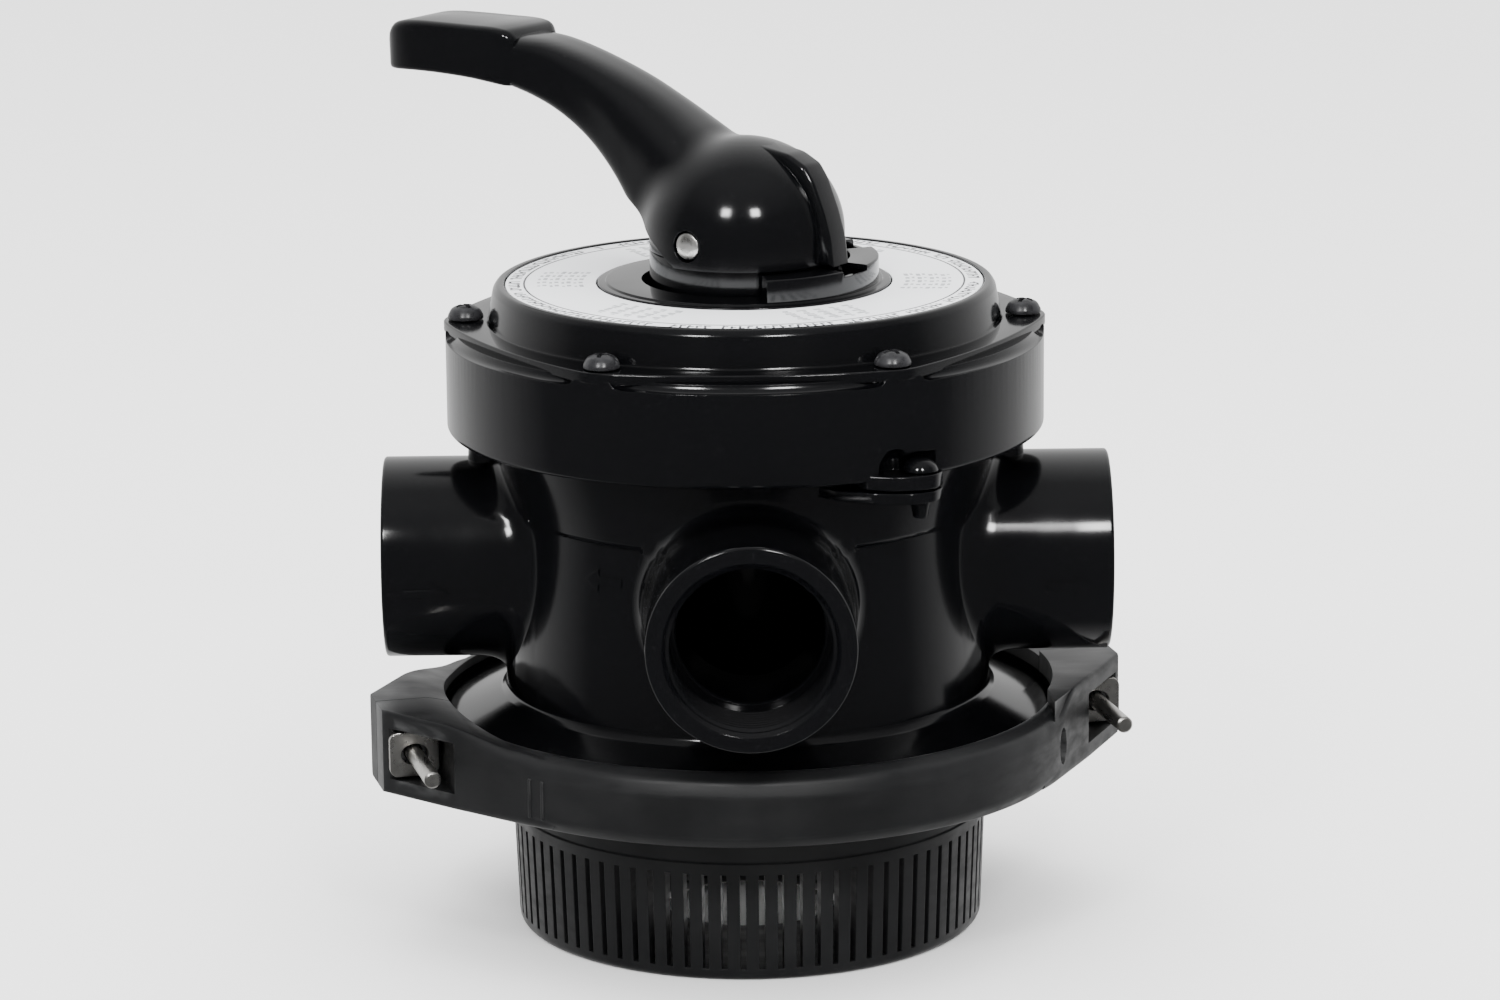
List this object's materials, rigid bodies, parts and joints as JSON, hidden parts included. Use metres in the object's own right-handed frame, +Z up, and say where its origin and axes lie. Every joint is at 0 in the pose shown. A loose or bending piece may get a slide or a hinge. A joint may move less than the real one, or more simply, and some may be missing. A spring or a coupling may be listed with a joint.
{
  "type": "multiport valve",
  "caption": "Top-mount multiport valve for a sand filter: a lever lifts and turns a spring-loaded rotor above threaded side ports, with a band clamp and a slotted basket.",
  "frame": {"origin": "under the middle of the outer box, level with the flat bottom of the slotted basket; the valve axis stands 8 mm behind it", "axes": "+Z up along the valve axis towards the handle; -Y towards the front port; the side ports point along -X and +X"},
  "size_m": [0.228, 0.2122, 0.2658],
  "materials": {
    "gloss_black": "glossy moulded black",
    "satin_black": "satin, lightly scuffed",
    "seal_rubber": "matt",
    "stainless": "brushed",
    "label_white": "printed sheet, satin",
    "rotor_grey": "moulded, satin",
    "washer_white": "smooth",
    "screw_black": "black coated steel"
  },
  "bodies": {
    "root": {"diffuser_basket": "satin_black", "valve_body": "gloss_black", "body_foot": "gloss_black", "body_collar": "gloss_black", "pump_port_socket": "gloss_black", "waste_port_socket": "gloss_black", "pool_port_socket": "gloss_black", "pipe_o_ring": "seal_rubber", "tank_o_ring": "seal_rubber", "locking_ring": "gloss_black", "lid_o_ring": "seal_rubber", "lid": "gloss_black", "label_plate": "label_white", "lid_screw_1": "screw_black", "lid_screw_2": "screw_black", "lid_screw_3": "screw_black", "lid_screw_4": "screw_black", "lid_screw_5": "screw_black", "lid_screw_6": "screw_black", "lock_rivet": "gloss_black", "spider_gasket": "seal_rubber", "clamp_band_front": "satin_black", "clamp_band_back": "satin_black", "clamp_bolt_left": "stainless", "clamp_bolt_right": "stainless", "clamp_plate_left": "stainless", "clamp_plate_right": "stainless", "clamp_washer_left": "stainless", "clamp_washer_right": "stainless"},
    "selector": {"rotor_spring": "stainless", "spring_washer_upper": "washer_white", "lever_bearing_ring": "gloss_black"},
    "rotor": {"rotor": "rotor_grey", "stem_o_ring_lower": "seal_rubber", "stem_o_ring_upper": "seal_rubber", "spring_washer_lower": "stainless", "lever_pin": "stainless"},
    "lever": {"lever": "gloss_black"}
  },
  "joints": [
    {"name": "selector_turn", "type": "hinge", "parent": "root", "child": "selector", "pos_m": [0, 0.008, 0.19], "axis": [0, 0, 1], "continuous": true},
    {"name": "rotor_lift", "type": "slide", "parent": "selector", "child": "rotor", "axis": [0, 0, 1], "range_m": [0, 0.0074], "deforming": ["rotor_spring"]},
    {"name": "lever_press", "type": "hinge", "parent": "rotor", "child": "lever", "pos_m": [0, 0.008, 0.21], "axis": [-0.5736, -0.8192, 0], "range_deg": [0, 15], "stiffness_Nm_per_rad": 2.35, "springref_deg": -20.45}
  ],
  "couplings": [
    {"joint": "rotor_lift", "follows": "lever_press", "m_per_rad": 0.028}
  ]
}
